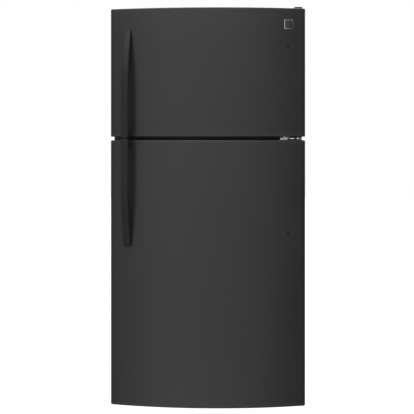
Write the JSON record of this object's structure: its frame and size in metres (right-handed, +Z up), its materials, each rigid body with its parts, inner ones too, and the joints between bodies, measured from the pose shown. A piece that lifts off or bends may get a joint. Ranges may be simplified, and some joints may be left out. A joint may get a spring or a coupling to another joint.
{
  "type": "top freezer refrigerator",
  "caption": "Free-standing top freezer refrigerator with two contoured doors, bowed handles, glass shelves, crisper drawers and a rear machine compartment.",
  "frame": {"origin": "on the floor under the middle of the overall box", "axes": "+Z up, -Y towards the doors' front, +X to the right, where the hinges are"},
  "size_m": [0.832, 0.876, 1.735],
  "materials": {
    "door_paint": "black semi-gloss paint on steel",
    "case_paint": "black textured paint on steel",
    "frame_paint": "black painted steel",
    "galvanised": "galvanised steel",
    "plated_steel": "zinc plated steel",
    "compressor_paint": "gloss black paint on steel",
    "copper": "copper tube",
    "aluminium": "mill aluminium",
    "foam": "rigid polyurethane foam",
    "fibreboard": "grey painted steel",
    "liner": "white moulded plastic",
    "white_plastic": "white moulded plastic",
    "dial_plastic": "light grey plastic",
    "clear_plastic": "clear moulded plastic",
    "shelf_glass": "tempered glass",
    "lens": "frosted plastic",
    "shelf_wire": "white coated wire",
    "heater_glass": "glass tube",
    "rubber": "black rubber",
    "gasket": "black flexible vinyl",
    "handle_plastic": "black semi-gloss plastic",
    "cap_plastic": "black plastic",
    "dark_plastic": "black plastic",
    "foot_plastic": "dark grey plastic"
  },
  "bodies": {
    "cabinet": {"outer_case": "case_paint", "back_panel": "galvanised", "base_frame": "frame_paint", "cabinet_foam": "foam", "freezer_liner": "liner", "fridge_liner": "liner", "center_rail": "case_paint", "machine_cover": "fibreboard", "compressor": "compressor_paint", "compressor_grommets": "rubber", "condenser": "frame_paint", "condenser_fan_motor": "dark_plastic", "refrigerant_lines": "copper", "evaporator": "aluminium", "defrost_heater": "heater_glass", "evaporator_cover": "white_plastic", "evaporator_fan_motor": "white_plastic", "drain_pan": "dark_plastic", "air_duct": "white_plastic", "control_housing": "white_plastic", "light_lens": "lens", "freezer_shelf": "shelf_wire", "shelf_frames": "white_plastic", "shelf_glass": "shelf_glass", "crisper_cover": "white_plastic", "ice_bin": "clear_plastic", "base_grille": "dark_plastic", "top_hinge": "plated_steel", "top_hinge_cover": "dark_plastic", "mid_hinge": "plated_steel", "bottom_hinge": "plated_steel", "hinge_screws": "plated_steel"},
    "freezer_door": {"freezer_door_skin": "door_paint", "freezer_door_caps": "cap_plastic", "freezer_door_foam": "foam", "freezer_door_liner": "liner", "freezer_gasket": "gasket", "freezer_handle": "handle_plastic", "freezer_door_bins": "clear_plastic"},
    "fridge_door": {"fridge_door_skin": "door_paint", "fridge_door_caps": "cap_plastic", "fridge_door_foam": "foam", "fridge_door_liner": "liner", "fridge_gasket": "gasket", "fridge_handle": "handle_plastic", "fridge_door_bins": "clear_plastic"},
    "condenser_fan_blade": {"condenser_fan_blade": "dark_plastic"},
    "evaporator_fan_blade": {"evaporator_fan_blade": "white_plastic"},
    "fridge_dial": {"fridge_dial": "dial_plastic"},
    "freezer_dial": {"freezer_dial": "dial_plastic"},
    "crisper_left": {"crisper_left": "clear_plastic"},
    "crisper_right": {"crisper_right": "clear_plastic"},
    "humidity_slide_left": {"humidity_slide_left": "dial_plastic"},
    "humidity_slide_right": {"humidity_slide_right": "dial_plastic"},
    "levelling_leg_left": {"levelling_leg_left": "foot_plastic"},
    "levelling_leg_right": {"levelling_leg_right": "foot_plastic"},
    "roller_left": {"roller_left": "foot_plastic"},
    "roller_right": {"roller_right": "foot_plastic"},
    "fridge_switch": {"fridge_switch": "white_plastic"},
    "dairy_lid": {"dairy_lid": "clear_plastic"}
  },
  "joints": [
    {"name": "freezer_door_hinge", "type": "hinge", "parent": "cabinet", "child": "freezer_door", "pos_m": [0.388, -0.3315, 1.166], "axis": [0, 0, 1], "range_deg": [0, 130]},
    {"name": "fridge_door_hinge", "type": "hinge", "parent": "cabinet", "child": "fridge_door", "pos_m": [0.388, -0.3315, 0.6], "axis": [0, 0, 1], "range_deg": [0, 130]},
    {"name": "crisper_left_slide", "type": "slide", "parent": "cabinet", "child": "crisper_left", "axis": [0, -1, 0], "range_m": [0, 0.1]},
    {"name": "crisper_right_slide", "type": "slide", "parent": "cabinet", "child": "crisper_right", "axis": [0, -1, 0], "range_m": [0, 0.1]},
    {"name": "humidity_left_slide", "type": "slide", "parent": "cabinet", "child": "humidity_slide_left", "axis": [1, 0, 0], "range_m": [0, 0.04]},
    {"name": "humidity_right_slide", "type": "slide", "parent": "cabinet", "child": "humidity_slide_right", "axis": [1, 0, 0], "range_m": [0, 0.04]},
    {"name": "dairy_lid_hinge", "type": "hinge", "parent": "fridge_door", "child": "dairy_lid", "pos_m": [0, -0.302, 0.966], "axis": [1, 0, 0], "range_deg": [0, 85]},
    {"name": "fridge_dial_turn", "type": "hinge", "parent": "cabinet", "child": "fridge_dial", "pos_m": [-0.09, -0.186, 1.085], "axis": [0, 0, 1], "range_deg": [-135, 135]},
    {"name": "freezer_dial_turn", "type": "hinge", "parent": "cabinet", "child": "freezer_dial", "pos_m": [0.09, -0.186, 1.085], "axis": [0, 0, 1], "range_deg": [-135, 135]},
    {"name": "door_switch_plunge", "type": "slide", "parent": "cabinet", "child": "fridge_switch", "axis": [0, -1, 0], "range_m": [0, 0.006]},
    {"name": "condenser_fan_spin", "type": "hinge", "parent": "cabinet", "child": "condenser_fan_blade", "pos_m": [0.044, 0.343, 0.148], "axis": [1, 0, 0], "continuous": true},
    {"name": "evaporator_fan_spin", "type": "hinge", "parent": "cabinet", "child": "evaporator_fan_blade", "pos_m": [0, 0.318, 1.521], "axis": [0, 1, 0], "continuous": true},
    {"name": "roller_left_spin", "type": "hinge", "parent": "cabinet", "child": "roller_left", "pos_m": [-0.356, 0.384, 0.019], "axis": [1, 0, 0], "continuous": true},
    {"name": "roller_right_spin", "type": "hinge", "parent": "cabinet", "child": "roller_right", "pos_m": [0.356, 0.384, 0.019], "axis": [1, 0, 0], "continuous": true},
    {"name": "levelling_left_turn", "type": "hinge", "parent": "cabinet", "child": "levelling_leg_left", "pos_m": [-0.368, -0.234, 0], "axis": [0, 0, 1], "continuous": true},
    {"name": "levelling_right_turn", "type": "hinge", "parent": "cabinet", "child": "levelling_leg_right", "pos_m": [0.368, -0.234, 0], "axis": [0, 0, 1], "continuous": true}
  ],
  "couplings": [
    {"joint": "door_switch_plunge", "follows": "fridge_door_hinge", "m_per_rad": 0.002644}
  ]
}
